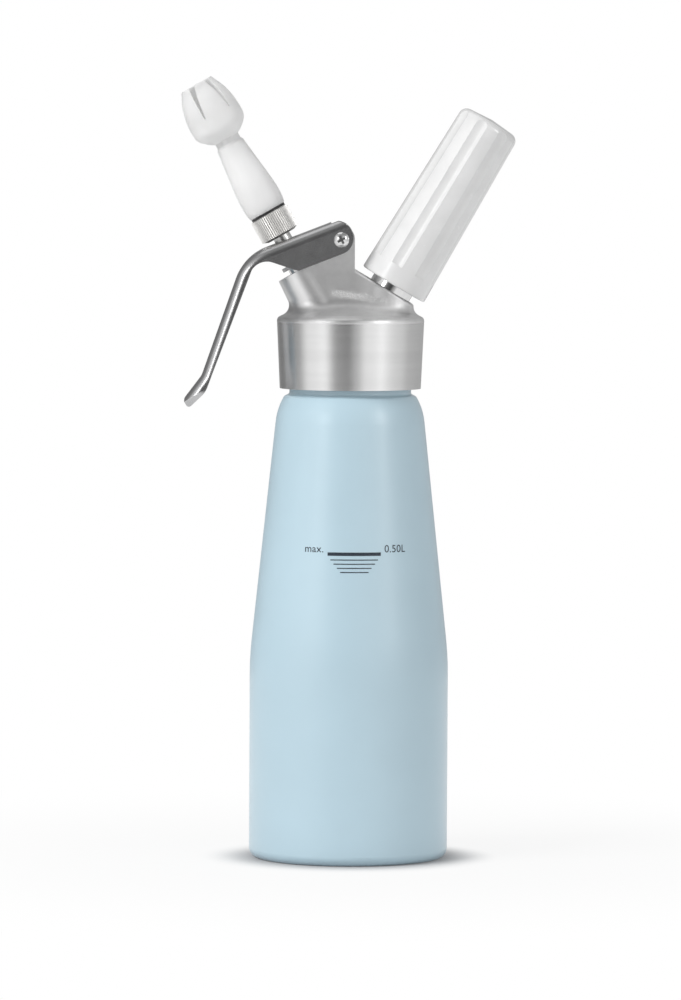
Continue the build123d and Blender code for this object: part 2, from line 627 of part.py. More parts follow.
with BuildPart() as lever_hollow:
    channel(LEVER_HALF - SHEET, SHEET, FLANGE_DEPTH + FLANGE_TRIM, BEND_R - SHEET, -SHEET)
    grip_plan(LEVER_HALF - SHEET, GRIP_FOOT + SHEET, GRIP_CORNER - SHEET)
    # The plate stops short of the rounded end, where only the two cheeks go on
    with BuildSketch(Plane.XZ):
        with BuildLine():
            over = ridge_normal * FLANGE_TRIM
            beyond = ridge * LEVER_OVERRUN
            Polyline(plate_end + over, plate_end - over, plate_end - over + beyond,
                     plate_end + over + beyond, close=True)
        make_face()
    extrude(amount=LEVER_HALF - SHEET, both=True)

with BuildPart() as lever:
    channel(LEVER_HALF, 0, FLANGE_DEPTH, BEND_R, FLANGE_TRIM)
    with BuildSketch(Plane.XZ.offset(-2 * LEVER_HALF)):
        with BuildLine():
            FilletPolyline(*clear_path, tip_front, *vectors(*FLANGE_EDGE), heel,
                           radius=(*clear_rounds, TIP_CUT / 2, *FLANGE_ROUNDS))
            ThreePointArc(heel, lever_end + ridge * LEVER_END_R, plate_end)
            Line(plate_end, clear_path[0])
        make_face()
    extrude(amount=4 * LEVER_HALF, mode=Mode.INTERSECT)
    grip_plan(LEVER_HALF, GRIP_FOOT, GRIP_CORNER)
    add(lever_hollow.part, mode=Mode.SUBTRACT)
    # Pivot holes in the cheeks, and the slot for the valve stem in the plate
    with BuildSketch(Plane.XZ):
        with Locations(PIVOT):
            Circle(PIN_R + FIT)
    extrude(amount=2 * LEVER_HALF, both=True, mode=Mode.SUBTRACT)
    slot_centre = Vector(*PIVOT) + ridge_normal * (BOSS_R + SHEET / 2) - ridge * SLOT_REACH
    with BuildSketch(Plane((slot_centre.X, 0, slot_centre.Y), x_dir=(ridge.X, 0, ridge.Y),
                           z_dir=(ridge_normal.X, 0, ridge_normal.Y))):
        SlotOverall(SLOT_LENGTH, SLOT_WIDTH)
    extrude(amount=3 * SHEET, both=True, mode=Mode.SUBTRACT)
lever.part.label = "lever"
export_step(lever.part, "parts/lever.step")

# ---------------------------------------------------------------- lever pivot
front = Plane.XZ.offset(LEVER_HALF + FIT)
head_dome_r = (PIN_HEAD_R ** 2 + PIN_HEAD ** 2) / (2 * PIN_HEAD)
with BuildPart() as lever_pin:
    with Locations((pivot_x, head_dome_r - PIN_HEAD - LEVER_HALF - FIT, pivot_z)):
        Sphere(head_dome_r)
    split(bisect_by=front, keep=Keep.TOP)
    with BuildSketch(front):
        with Locations(PIVOT):
            Circle(PIN_R)
    extrude(amount=-2 * LEVER_HALF - PIN_NUT)
    with BuildSketch(front.offset(PIN_HEAD)):
        with Locations(PIVOT):
            Rectangle(CROSS_LENGTH, CROSS_WIDTH, rotation=CROSS_TURN)
            Rectangle(CROSS_WIDTH, CROSS_LENGTH, rotation=CROSS_TURN)
    extrude(amount=-CROSS_DEPTH, mode=Mode.SUBTRACT)
lever_pin.part.label = "lever_pin"
export_step(lever_pin.part, "parts/lever_pin.step")

with BuildPart() as lever_pin_nut:
    with BuildSketch(Plane.XZ.offset(-LEVER_HALF - FIT)):
        with Locations(PIVOT):
            RegularPolygon(PIN_NUT_R, 6)
            Circle(PIN_R, mode=Mode.SUBTRACT)
    extrude(amount=-PIN_NUT)
lever_pin_nut.part.label = "lever_pin_nut"
export_step(lever_pin_nut.part, "parts/lever_pin_nut.step")

# A thin washer on each side of the web keeps the cheeks off the casting
with BuildPart() as lever_washers:
    for side in (-1, 1):
        with BuildSketch(Plane.XZ.offset(side * (WEB_HALF + WASHER_GAP / 2))):
            with Locations(PIVOT):
                Circle(SIDE_WASHER_R)
                Circle(PIN_R + FIT, mode=Mode.SUBTRACT)
        extrude(amount=WASHER_GAP / 2 - FIT, both=True)
lever_washers.part.label = "lever_washers"
export_step(lever_washers.part, "parts/lever_washers.step")

# ---------------------------------------------------------------- charger port
stud_core_r = STUD_THREAD_R - STUD_THREAD_DEPTH
neck_top = HOLDER_FOOT + STUD_NECK
with BuildPart() as charger_port:
    turned(charge.section, charge.axis, (0, PORT_BORE_FOOT), (PORT_BORE_R - FIT, PORT_BORE_FOOT),
           (PORT_BORE_R - FIT, PORT_FACE), (STUD_R, PORT_FACE), (STUD_R, neck_top),
           (stud_core_r, neck_top + STUD_CHAMFER), (stud_core_r, STUD_TOP - STUD_CHAMFER),
           (stud_core_r - STUD_CHAMFER, STUD_TOP), (0, STUD_TOP))
    bore(charge.at(GASKET_FOOT), CHARGER_GASKET_R + FIT, STUD_TOP - GASKET_FOOT)
    bore(charge.at(PIN_FOOT), PIERCER_R, STUD_TOP - PIN_FOOT)
    bore(charge.at(PORT_BORE_FOOT), GAS_PASSAGE_R, STUD_TOP - PORT_BORE_FOOT)
    thread((charge.at(STUD_THREAD_FOOT).origin, charge.up), stud_core_r,
           STUD_PITCH * STUD_THREAD_TURNS, STUD_PITCH, STUD_THREAD_DEPTH, STUD_THREAD_DEPTH)
charger_port.part.label = "charger_port"
export_step(charger_port.part, "parts/charger_port.step")

with BuildPart() as port_seal:
    ring(charge.at(PORT_SEAL_FOOT + FIT), PORT_SEAL_R - FIT, PORT_BORE_R + FIT,
         PORT_FACE - PORT_SEAL_FOOT - 2 * FIT)
port_seal.part.label = "port_seal"
export_step(port_seal.part, "parts/port_seal.step")

with BuildPart() as piercing_pin:
    turned(charge.section, charge.axis, (0, PIN_FOOT), (PIERCER_R, PIN_FOOT),
           (PIERCER_R, GASKET_FOOT), (NEEDLE_R, GASKET_FOOT),
           (NEEDLE_R, NEEDLE_TIP - NEEDLE_TAPER), (NEEDLE_TIP_R, NEEDLE_TIP), (0, NEEDLE_TIP))
    bore(charge.at(PIN_FOOT), NEEDLE_BORE_R, NEEDLE_TIP - PIN_FOOT)
piercing_pin.part.label = "piercing_pin"
export_step(piercing_pin.part, "parts/piercing_pin.step")

with BuildPart() as charger_gasket:
    ring(charge.at(GASKET_FOOT), CHARGER_GASKET_R, NEEDLE_R + FIT,
         NECK_SEAT - FIT - GASKET_FOOT)
charger_gasket.part.label = "charger_gasket"
export_step(charger_gasket.part, "parts/charger_gasket.step")

# ---------------------------------------------------------------- check valve under the port
flap_top = INLET_POCKET_TOP - FIT
with BuildPart() as check_valve:
    turned(charge.section, charge.axis, (0, flap_top - FLAP), (FLAP_FOOT_R, flap_top - FLAP),
           (FLAP_R, flap_top - FLAP_EDGE), (FLAP_TOP_R, flap_top), (0, flap_top))
check_valve.part.label = "check_valve"
export_step(check_valve.part, "parts/check_valve.step")

with BuildPart() as check_valve_retainer:
    ring(charge.at(SEAT_T), INLET_POCKET_R - FIT, RETAINER_BORE_R, RETAINER)
    with BuildSketch(charge.at(SEAT_T)):
        Rectangle(2 * INLET_POCKET_R, RETAINER_SLOT)
    extrude(amount=RETAINER_SLOT, mode=Mode.SUBTRACT)
check_valve_retainer.part.label = "check_valve_retainer"
export_step(check_valve_retainer.part, "parts/check_valve_retainer.step")

# ---------------------------------------------------------------- gas charger
charger_end = NECK_SEAT + CHARGER_LENGTH
neck_end = NECK_SEAT + CHARGER_NECK_LENGTH
shoulder_end = neck_end + CHARGER_SHOULDER
cavity_r = CHARGER_R - CHARGER_WALL
with BuildPart() as charger:
    with BuildSketch(charge.section):
        with BuildLine():
            can = FilletPolyline(
                (CHARGER_MOUTH_R, NECK_SEAT), (CHARGER_NECK_R, NECK_SEAT),
                (CHARGER_NECK_R, neck_end), (CHARGER_R, shoulder_end), (CHARGER_R, charger_end),
                (0, charger_end), radius=CHARGER_ROUNDS)
            cavity = FilletPolyline(
                (CHARGER_MOUTH_R, NECK_SEAT), (CHARGER_MOUTH_R, neck_end + CAVITY_RISE),
                (cavity_r, shoulder_end + CAVITY_RISE), (cavity_r, charger_end - CHARGER_WALL),
                (0, charger_end - CHARGER_WALL), radius=CAVITY_ROUNDS)
            Line(can @ 1, cavity @ 1)
        make_face()
    revolve(axis=charge.axis)
charger.part.label = "charger"
export_step(charger.part, "parts/charger.step")

# ---------------------------------------------------------------- charger holder
holder_top = HOLDER_FOOT + HOLDER_LENGTH
holder_slope = (HOLDER_LOW_R - HOLDER_HIGH_R) / HOLDER_LENGTH
holder_taper = degrees(atan(holder_slope))
holder_thread_r = STUD_THREAD_R + HOLDER_THREAD_GAP
socket_r = CHARGER_R + SOCKET_GAP
socket_end = charger_end + SOCKET_GAP
with BuildPart() as charger_holder:
    with BuildSketch(charge.section):
        with BuildLine():
            wall = FilletPolyline(
                (holder_thread_r, HOLDER_FOOT), (HOLDER_LOW_R, HOLDER_FOOT),
                (HOLDER_HIGH_R, holder_top), (0, holder_top + HOLDER_DOME), radius=HOLDER_ROUNDS)
            Polyline(wall @ 1, (0, socket_end), (socket_r / 2, socket_end))
            FilletPolyline(
                (socket_r / 2, socket_end), (socket_r, socket_end), (socket_r, SOCKET_TOP),
                (holder_thread_r, SOCKET_TOP - SOCKET_STEP), wall @ 0,
                radius=(SOCKET_ROUND, SOCKET_EDGE_ROUND, SOCKET_EDGE_ROUND))
        make_face()
    revolve(axis=charge.axis)
    # Shallow flutes for grip
    flute_start_r = HOLDER_LOW_R - (FLUTE_START - HOLDER_FOOT) * holder_slope
    flute_axis_r = flute_start_r + FLUTE_CUT_R - FLUTE_DEPTH
    for k in range(FLUTES):
        start = charge.at(FLUTE_START, FLUTE_PHASE + k * 360 / FLUTES)
        with Locations(start.location * Location((flute_axis_r, 0, 0), (0, -holder_taper, 0))):
            Cylinder(FLUTE_CUT_R, holder_top + FLUTE_OVERRUN - FLUTE_START,
                     align=(Align.CENTER, Align.CENTER, Align.MIN), mode=Mode.SUBTRACT)
charger_holder.part.label = "charger_holder"
export_step(charger_holder.part, "parts/charger_holder.step")
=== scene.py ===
from math import cos, pi, radians, sin

import bpy
from mathutils import Matrix, Vector


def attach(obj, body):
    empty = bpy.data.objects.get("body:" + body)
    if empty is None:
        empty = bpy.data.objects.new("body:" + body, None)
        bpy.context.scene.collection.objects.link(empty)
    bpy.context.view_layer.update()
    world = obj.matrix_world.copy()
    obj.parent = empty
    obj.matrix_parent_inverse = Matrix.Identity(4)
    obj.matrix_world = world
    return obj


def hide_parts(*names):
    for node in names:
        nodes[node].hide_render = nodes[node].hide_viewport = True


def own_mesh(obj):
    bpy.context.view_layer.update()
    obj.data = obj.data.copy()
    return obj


# Half-litre cream whipper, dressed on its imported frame. Metres, +Z up; the camera stands at -Y.

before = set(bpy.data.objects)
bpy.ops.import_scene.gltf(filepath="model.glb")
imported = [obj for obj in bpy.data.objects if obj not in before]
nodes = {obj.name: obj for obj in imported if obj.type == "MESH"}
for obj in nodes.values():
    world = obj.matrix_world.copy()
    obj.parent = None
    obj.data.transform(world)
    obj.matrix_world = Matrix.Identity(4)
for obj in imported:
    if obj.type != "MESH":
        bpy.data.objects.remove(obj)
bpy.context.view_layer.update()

# ---------------------------------------------------------------- sizes shared with the solids
MM = 0.001
UM = 0.000001
BOTTLE_R = 39.0 * MM
CONE_START = 79.0 * MM          # above this height the bottle's wall leans in
CONE_SLOPE = 0.1055
VALVE_TILT = radians(-29.75)    # the valve's axis leans to -X and meets the Z axis at its foot
VALVE_FOOT = 196.6 * MM
KNURL_R = 7.95 * MM             # tops of the adapter's knurls
CHARGER_TILT = radians(30.7)    # the charger's axis leans to +X in the same way
CHARGER_FOOT = 197.4 * MM

# ---------------------------------------------------------------- view
bpy.context.scene.view_settings.view_transform = "Standard"
VIEW_HEIGHT = 393 * MM          # what the picture's height covers at the bottle's axis
CAMERA_DISTANCE = 2.6
CAMERA_HEIGHT = 0.290
AIM = Vector((-3.6 * MM, 0, 140.7 * MM))
ROLL = radians(0.29)
SENSOR = 36.0                   # millimetres, along the picture's height


def placed(name, data):
    """A new object in the scene."""
    made = bpy.data.objects.new(name, data)
    bpy.context.scene.collection.objects.link(made)
    return made


camera = placed("camera", bpy.data.cameras.new("camera"))
camera.location = (AIM.x, -CAMERA_DISTANCE, CAMERA_HEIGHT)
sight = AIM - camera.location
camera.data.sensor_width = SENSOR
camera.data.lens = SENSOR * sight.length / VIEW_HEIGHT
camera.rotation_mode = "QUATERNION"
camera.rotation_quaternion = (sight.to_track_quat("-Z", "Y")
                              @ Matrix.Rotation(ROLL, 4, "Z").to_quaternion())
bpy.context.scene.camera = camera


# ---------------------------------------------------------------- material helpers
NOISE_SPAN = (0.3, 0.7)         # a noise's usual low and high values, for colours
ROUGH_SPAN = (0.25, 0.75)       # the same for roughness
EDGE_SPAN = (0.995, 0.85)       # cosine between true and rounded normal: a face, a full edge


def add_node(tree, kind, feeds=(), **settings):
    """A new node in a tree; feeds are (input, value or output) pairs."""
    made = tree.nodes.new(kind)
    for name, value in settings.items():
        setattr(made, name, value)
    for key, value in feeds:
        if isinstance(value, bpy.types.NodeSocket):
            tree.links.new(value, made.inputs[key])
        else:
            made.inputs[key].default_value = value
    return made


def grey(level):
    return (level, level, level)


def shade(color, factor):
    return tuple(min(channel * factor, 1.0) for channel in color)


class Look:
    """A material with a Principled shader and short calls for the nodes that feed it."""

    def __init__(self, name, color, roughness, metallic=0.0, **sockets):
        self.material = bpy.data.materials.new(name)
        self.material.use_nodes = True
        self.tree = self.material.node_tree
        self.shader = self.tree.nodes["Principled BSDF"]
        self.roughness = roughness
        sockets.update(Base_Color=(*color, 1), Roughness=roughness, Metallic=metallic)
        for socket, value in sockets.items():
            self.shader.inputs[socket.replace("_", " ")].default_value = value
        self.place = self.node("ShaderNodeTexCoord").outputs["Object"]
        self.height = None

    def node(self, kind, feeds=(), **settings):
        return add_node(self.tree, kind, feeds, **settings)

    def along(self, tilt, foot):
        """Coordinates turned so that their Z runs along a leaning axis."""
        moved = self.node("ShaderNodeVectorMath", [(0, self.place), (1, (0, 0, foot))],
                          operation="SUBTRACT")
        turned = self.node("ShaderNodeVectorRotate",
                           [("Vector", moved.outputs[0]), ("Angle", -tilt)],
                           rotation_type="Y_AXIS")
        return turned.outputs[0]

    def masked(self, mask, place=None):
        """A place times a mask, so that coordinates drop out where the mask is 0."""
        made = self.node("ShaderNodeVectorMath", [(0, place or self.place), (1, mask)],
                         operation="MULTIPLY")
        return made.outputs[0]

    def noise(self, scale, stretch=(1, 1, 1), detail=2.0, rough=0.5, place=None):
        """Noise from 0 to 1, scale in features per metre, stretched by direction."""
        mapped = self.node("ShaderNodeMapping", [("Vector", place or self.place),
                                                 ("Scale", stretch)])
        made = self.node("ShaderNodeTexNoise", [("Vector", mapped.outputs[0]), ("Scale", scale),
                                                ("Detail", detail), ("Roughness", rough)])
        return made.outputs["Fac"]

    def spots(self, scale):
        """Distance to the nearest of scattered points, 0 at the point."""
        made = self.node("ShaderNodeTexVoronoi", [("Vector", self.place), ("Scale", scale)])
        return made.outputs["Distance"]

    def span(self, value, low, high, start=0.0, end=1.0, smooth=True):
        """Value mapped from low..high to start..end."""
        made = self.node("ShaderNodeMapRange", [
            ("Value", value), ("From Min", low), ("From Max", high), ("To Min", start),
            ("To Max", end)], interpolation_type="SMOOTHSTEP" if smooth else "LINEAR")
        return made.outputs["Result"]

    def math(self, kind, first, second):
        return self.node("ShaderNodeMath", [(0, first), (1, second)], operation=kind).outputs[0]

    def part(self, axis):
        """One coordinate."""
        return self.node("ShaderNodeSeparateXYZ", [(0, self.place)]).outputs[axis]

    def blend(self, factor, first, second):
        """Colour between two colours."""
        made = self.node("ShaderNodeMix", [("Factor", factor)], data_type="RGBA")
        for socket, value in ((made.inputs[6], first), (made.inputs[7], second)):
            if isinstance(value, bpy.types.NodeSocket):
                self.tree.links.new(value, socket)
            else:
                socket.default_value = (*value, 1)
        return made.outputs[2]

    def mottle(self, noise, dark, light):
        """Colour that wanders between two colours with a noise."""
        return self.blend(self.span(noise, *NOISE_SPAN), dark, light)

    def edges(self, width, most):
        """How near an edge is: 0 on faces, towards the most within a width of a sharp edge."""
        bevel = self.node("ShaderNodeBevel", [("Radius", width)], samples=4)
        flat = self.node("ShaderNodeNewGeometry")
        dot = self.node("ShaderNodeVectorMath", [(0, bevel.outputs[0]),
                                                 (1, flat.outputs["Normal"])],
                        operation="DOT_PRODUCT")
        return self.span(dot.outputs["Value"], *EDGE_SPAN, 0.0, most)

    def feed(self, socket, value):
        self.tree.links.new(value, self.shader.inputs[socket])

    def bump(self, height, depth):
        """Relief on top of what is there, of a depth in metres."""
        made = self.node("ShaderNodeBump", [("Height", height), ("Distance", depth)])
        if self.height:
            self.tree.links.new(self.height, made.inputs["Normal"])
        self.height = made.outputs[0]
        self.feed("Normal", self.height)

    def rough_from(self, noise, spread):
        """Roughness that varies with a noise around the look's own level."""
        self.feed("Roughness", self.span(noise, *ROUGH_SPAN, self.roughness - spread,
                                         self.roughness + spread, smooth=False))

    def on(self, *names):
        """Put the look on solids of the frame."""
        for name in names:
            node = nodes[name]
            node.data.materials.clear()
            node.data.materials.append(self.material)


# ---------------------------------------------------------------- metals
RING_DEPTH = 1.5 * UM


def turned_metal(name, color, roughness, tilt, foot, line=2600):
    """Metal turned on a lathe: fine rings round an axis, with a little handling haze."""
    look = Look(name, color, roughness, 1.0)
    place = look.along(tilt, foot)
    rings = look.noise(1, (90, 90, line), 3.0, 0.6, place)
    haze = look.noise(140, detail=4.0)
    look.feed("Base Color", look.mottle(haze, shade(color, 0.9), shade(color, 1.07)))
    look.rough_from(rings, roughness * 0.35)
    look.bump(rings, RING_DEPTH)
    return look


SKIRT_TOP = 210.5 * MM          # the turned band of the cap ends here
SKIRT_FADE = 0.6 * MM
ROUGH_SPOT = (13 * MM, 0, 222 * MM)     # foot of the charger port, seen from the side
ROUGH_REACH = (3 * MM, 12 * MM)         # the rougher skin fades out between these distances
ROUGH_ADDED = 0.22
SEAM_X = 3.5 * MM               # the web's foot: its middle, its height there, its fall with X
SEAM_Z = 221.4 * MM
SEAM_DROP = 0.13
SEAM_SIDE = (8 * MM, 14 * MM)   # the pits fade out between these distances, along the foot
SEAM_RISE = (0.4 * MM, 2.4 * MM)        # and across it
PIT_LEVEL = 0.35                # noise under this level dents the skin, noise over it swells it
PIT_DEPTH = 450 * UM

aluminium = Look("cast_aluminium", grey(0.62), 0.4, 1.0, Anisotropic=0.55,
                 Anisotropic_Rotation=0.25)
around = aluminium.node("ShaderNodeTangent", direction_type="RADIAL", axis="Z").outputs[0]
aluminium.feed("Tangent", around)
height = aluminium.part("Z")
sideways = aluminium.part("X")
on_skirt = aluminium.span(height, SKIRT_TOP + SKIRT_FADE, SKIRT_TOP)
cast_share = aluminium.math("SUBTRACT", 1.0, on_skirt)
skirt_lines = aluminium.noise(1, (20, 20, 3200), 4.0, 0.65)
skirt_wide = aluminium.noise(1, (9, 9, 260), 2.0, 0.5)
cast_grain = aluminium.noise(1900, detail=3.0, rough=0.6)
cast_swell = aluminium.noise(260, detail=2.0)
turned_rough = aluminium.span(skirt_lines, *NOISE_SPAN, 0.22, 0.27, smooth=False)
cast_rough = aluminium.span(cast_grain, *ROUGH_SPAN, 0.40, 0.50, smooth=False)
# The skin is rougher round the foot of the charger port, where no tool reached
from_spot = aluminium.node("ShaderNodeVectorMath", [
    (0, aluminium.masked((1, 0, 1))), (1, ROUGH_SPOT)], operation="DISTANCE").outputs["Value"]
unworked = aluminium.span(from_spot, *ROUGH_REACH, ROUGH_ADDED, 0.0)
cast_rough = aluminium.math("ADD", cast_rough, unworked)
aluminium.feed("Roughness", aluminium.node("ShaderNodeMix", [
    ("Factor", on_skirt), (2, cast_rough), (3, turned_rough)]).outputs[0])
cast_color = aluminium.mottle(cast_swell, grey(0.77), grey(0.82))
turned_color = aluminium.mottle(skirt_wide, grey(0.74), grey(0.78))
worn = aluminium.edges(0.5 * MM, 0.6)
body_color = aluminium.blend(on_skirt, cast_color, turned_color)
aluminium.feed("Base Color", aluminium.blend(worn, body_color, grey(0.86)))
aluminium.bump(aluminium.math("MULTIPLY", cast_grain, cast_share), 8 * UM)
# A band of cast pits along the web's foot
seam = aluminium.math("SUBTRACT", SEAM_Z, aluminium.math("MULTIPLY", sideways, SEAM_DROP))
above_seam = aluminium.math("ABSOLUTE", aluminium.math("SUBTRACT", height, seam), 0)
along_seam = aluminium.math("ABSOLUTE", aluminium.math("SUBTRACT", sideways, SEAM_X), 0)
pitted = aluminium.math("MULTIPLY", aluminium.span(above_seam, *SEAM_RISE, 1.0, 0.0),
                        aluminium.span(along_seam, *SEAM_SIDE, 1.0, 0.0))
dents = aluminium.math("SUBTRACT", aluminium.noise(1100, detail=3.0, rough=0.7), PIT_LEVEL)
aluminium.bump(aluminium.math("MULTIPLY", dents, pitted), PIT_DEPTH)
aluminium.bump(aluminium.math("MULTIPLY", cast_swell, cast_share), 25 * UM)
aluminium.bump(aluminium.math("MULTIPLY", skirt_lines, on_skirt), 0.3 * UM)
aluminium.on("head_casting")

steel_sheet = Look("lever_steel", grey(0.48), 0.24, 1.0)
sheet_grain = steel_sheet.noise(120, detail=4.0, rough=0.6)
sheet_lines = steel_sheet.noise(1, (120, 2600, 120), 3.0, 0.6)
sheet_worn = steel_sheet.edges(0.6 * MM, 0.7)
sheet_color = steel_sheet.mottle(sheet_grain, (0.48, 0.48, 0.485), (0.52, 0.52, 0.525))
steel_sheet.feed("Base Color", steel_sheet.blend(sheet_worn, sheet_color, grey(0.75)))
steel_sheet.rough_from(sheet_lines, 0.03)
steel_sheet.bump(sheet_lines, 0.4 * UM)
steel_sheet.on("lever")

turned_metal("valve_steel", (0.60, 0.60, 0.59), 0.24, VALVE_TILT, VALVE_FOOT).on(
    "valve_stem", "valve_plunger", "valve_nut")
turned_metal("collar_steel", grey(0.30), 0.28, VALVE_TILT, VALVE_FOOT, 1200).on("valve_collar")
turned_metal("gland_chrome", grey(0.66), 0.16, VALVE_TILT, VALVE_FOOT, 1800).on("gland_nut")
turned_metal("port_chrome", grey(0.70), 0.13, CHARGER_TILT, CHARGER_FOOT, 1800).on("charger_port")
turned_metal("pin_steel", (0.62, 0.62, 0.60), 0.2, CHARGER_TILT, CHARGER_FOOT).on(
    "piercing_pin", "check_valve_retainer")
turned_metal("charger_zinc", (0.52, 0.53, 0.54), 0.3, CHARGER_TILT, CHARGER_FOOT, 900).on("charger")

# On the real whipper the coil closes up between its ledge and the stem's flange when the valve is
# pressed; here the spring's mesh is copied into a coil that rides the head, and the spring itself
# is hidden
spring_steel = turned_metal("spring_wire", (0.46, 0.46, 0.45), 0.3, VALVE_TILT, VALVE_FOOT, 4000)
spring_steel.on("valve_spring")
coil = placed("valve_coil", nodes["valve_spring"].data.copy())
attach(coil, "head")
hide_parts("valve_spring")
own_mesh(coil)

GROOVE_START = (0.12 * MM, 0.38 * MM)   # painted shade sets in between these depths under the tops
GROOVE_END = (0.6 * MM, 0.9 * MM)       # and stops between these; nearer the axis there is none

knurled = Look("knurled_steel", (0.88, 0.87, 0.85), 0.45, 1.0)
knurl_place = knurled.along(VALVE_TILT, VALVE_FOOT)
knurl_lines = knurled.noise(1, (900, 900, 120), 3.0, 0.6, knurl_place)
knurl_dirt = knurled.spots(700)
knurl_edge = knurled.edges(0.15 * MM, 0.6)
knurl_color = knurled.blend(knurled.span(knurl_dirt, 0.1, 0.6), (0.80, 0.79, 0.77),
                            (0.92, 0.91, 0.89))
knurl_tops = knurled.blend(knurl_edge, knurl_color, (0.97, 0.96, 0.94))
from_axis = knurled.node("ShaderNodeVectorMath", [(0, knurled.masked((1, 1, 0), knurl_place))],
                         operation="LENGTH").outputs["Value"]
deep = knurled.math("SUBTRACT", KNURL_R, from_axis)
# Painted shade: the grooves between the knurls are coloured darker
painted_groove_shade = knurled.math("MULTIPLY", knurled.span(deep, *GROOVE_START),
                         knurled.span(deep, *GROOVE_END, 1.0, 0.0))
knurled.feed("Base Color", knurled.blend(painted_groove_shade, knurl_tops, (0.72, 0.713, 0.70)))
knurled.rough_from(knurl_lines, 0.08)
knurled.bump(knurl_lines, 2 * UM)
knurled.on("nozzle_adapter")

polished = Look("polished_screw", grey(0.72), 0.12, 1.0)
polish_haze = polished.noise(900, detail=4.0)
polish_rings = polished.noise(1, (1600, 60, 1600), 2.0)
polished.feed("Base Color", polished.mottle(polish_haze, grey(0.62), grey(0.76)))
polished.rough_from(polish_haze, 0.05)
polished.bump(polish_rings, 3 * UM)
polished.on("lever_pin", "lever_pin_nut")

# ---------------------------------------------------------------- lacquered bottle
LACQUER = (0.500, 0.664, 0.752)
BARE = grey(0.68)
LACQUER_EDGE = 185.5 * MM       # the lacquer stops here, under the cap
RIM_HEIGHT = 3.9 * MM           # below this everything is lacquered, the recessed base too
OUTSIDE = -0.02                 # faces that turn in further than this are the bare inside

lacquer = Look("bottle_lacquer", LACQUER, 0.38, 0.0, Coat_Weight=0.55, Coat_Roughness=0.3)
bottle_z = lacquer.part("Z")
outwards = lacquer.node("ShaderNodeVectorMath", [(0, lacquer.masked((1, 1, 0)))],
                        operation="NORMALIZE").outputs[0]
facing = lacquer.node("ShaderNodeVectorMath", [
    (0, lacquer.node("ShaderNodeNewGeometry").outputs["True Normal"]), (1, outwards)],
    operation="DOT_PRODUCT").outputs["Value"]
below = lacquer.math("LESS_THAN", bottle_z, RIM_HEIGHT)
outer = lacquer.math("MAXIMUM", lacquer.math("GREATER_THAN", facing, OUTSIDE), below)
under_cap = lacquer.math("LESS_THAN", bottle_z, LACQUER_EDGE)
painted = lacquer.math("MULTIPLY", outer, under_cap)
unpainted = lacquer.math("SUBTRACT", 1.0, painted)
peel = lacquer.noise(1100, detail=2.0)
clouds = lacquer.noise(18, detail=3.0)
handling = lacquer.noise(75, detail=5.0, rough=0.6)
tint = lacquer.mottle(clouds, shade(LACQUER, 0.975), shade(LACQUER, 1.025))
spun = lacquer.noise(1, (40, 40, 1500), 3.0, 0.6)
bare_tint = lacquer.mottle(spun, shade(BARE, 0.86), BARE)
lacquer.feed("Base Color", lacquer.blend(painted, bare_tint, tint))
lacquer.feed("Metallic", unpainted)
lacquer.rough_from(handling, 0.06)
lacquer.bump(lacquer.math("MULTIPLY", peel, painted), 9 * UM)
lacquer.bump(lacquer.math("MULTIPLY", spun, unpainted), 6 * UM)
lacquer.on("bottle")

# ---------------------------------------------------------------- plastics and rubbers
nozzle_white = Look("nozzle_plastic", (0.94, 0.94, 0.935), 0.42, 0.0, Subsurface_Weight=0.75,
                    Subsurface_Scale=8 * MM, Subsurface_Radius=(1, 1, 1))
nozzle_grain = nozzle_white.noise(2600, detail=3.0)
nozzle_cloud = nozzle_white.noise(60, detail=2.0)
nozzle_white.feed("Base Color", nozzle_white.mottle(nozzle_cloud, (0.93, 0.93, 0.925),
                                                    (0.96, 0.96, 0.955)))
nozzle_white.rough_from(nozzle_grain, 0.06)
nozzle_white.bump(nozzle_grain, 6 * UM)
nozzle_white.on("tulip_nozzle")

holder_white = Look("holder_plastic", grey(0.78), 0.24, 0.0, Coat_Weight=0.5, Coat_Roughness=0.08)
holder_wave = holder_white.noise(120, detail=2.0)
holder_haze = holder_white.noise(420, detail=5.0, rough=0.65)
holder_white.feed("Base Color", holder_white.mottle(holder_wave, grey(0.76), grey(0.80)))
holder_white.rough_from(holder_haze, 0.05)
holder_white.bump(holder_wave, 25 * UM)
holder_white.bump(holder_haze, 2 * UM)
holder_white.on("charger_holder")


def moulded(name, color, roughness, grain, depth):
    """Soft or plain moulded material: fine grain, faint clouding."""
    look = Look(name, color, roughness)
    fine = look.noise(grain, detail=3.0)
    cloud = look.noise(150, detail=3.0)
    look.feed("Base Color", look.mottle(cloud, shade(color, 0.88), shade(color, 1.1)))
    look.rough_from(fine, 0.08)
    look.bump(fine, depth)
    return look


moulded("black_rubber", (0.022, 0.022, 0.023), 0.55, 2400, 12 * UM).on(
    "stem_seal", "valve_seat_washer", "nozzle_seal_ring", "port_seal", "charger_gasket")
moulded("silicone", (0.62, 0.62, 0.60), 0.5, 1800, 10 * UM).on("head_gasket", "check_valve")
moulded("washer_plastic", (0.72, 0.72, 0.69), 0.4, 2200, 6 * UM).on("lever_washers")

# ---------------------------------------------------------------- printed fill mark
MARK_X = 1.9 * MM               # middle of the mark, seen from the front
MARK_Z = 121.6 * MM
INK_LIFT = 0.03 * MM            # how far the print's underside clears the bottle's wall
INK_DEPTH = 0.02 * MM
BAR_WIDTH = 21.0 * MM
BAR_HEIGHT = 1.3 * MM
LINES = (18.7 * MM, 16.3 * MM, 13.5 * MM, 11.1 * MM)
LINE_STEP = 1.6 * MM
LINE_HEIGHT = 0.36 * MM
LINE_PARTS = 24                 # steps in a line, so that it follows the round wall
WORD_SIZE = 4.1 * MM
WORD_GAP = 1.5 * MM             # between the bar's end and a word
WORD_FOOT = 0.6 * MM            # the words' foot line, over the middle of the bar
LETTER_SPACING = 1.05

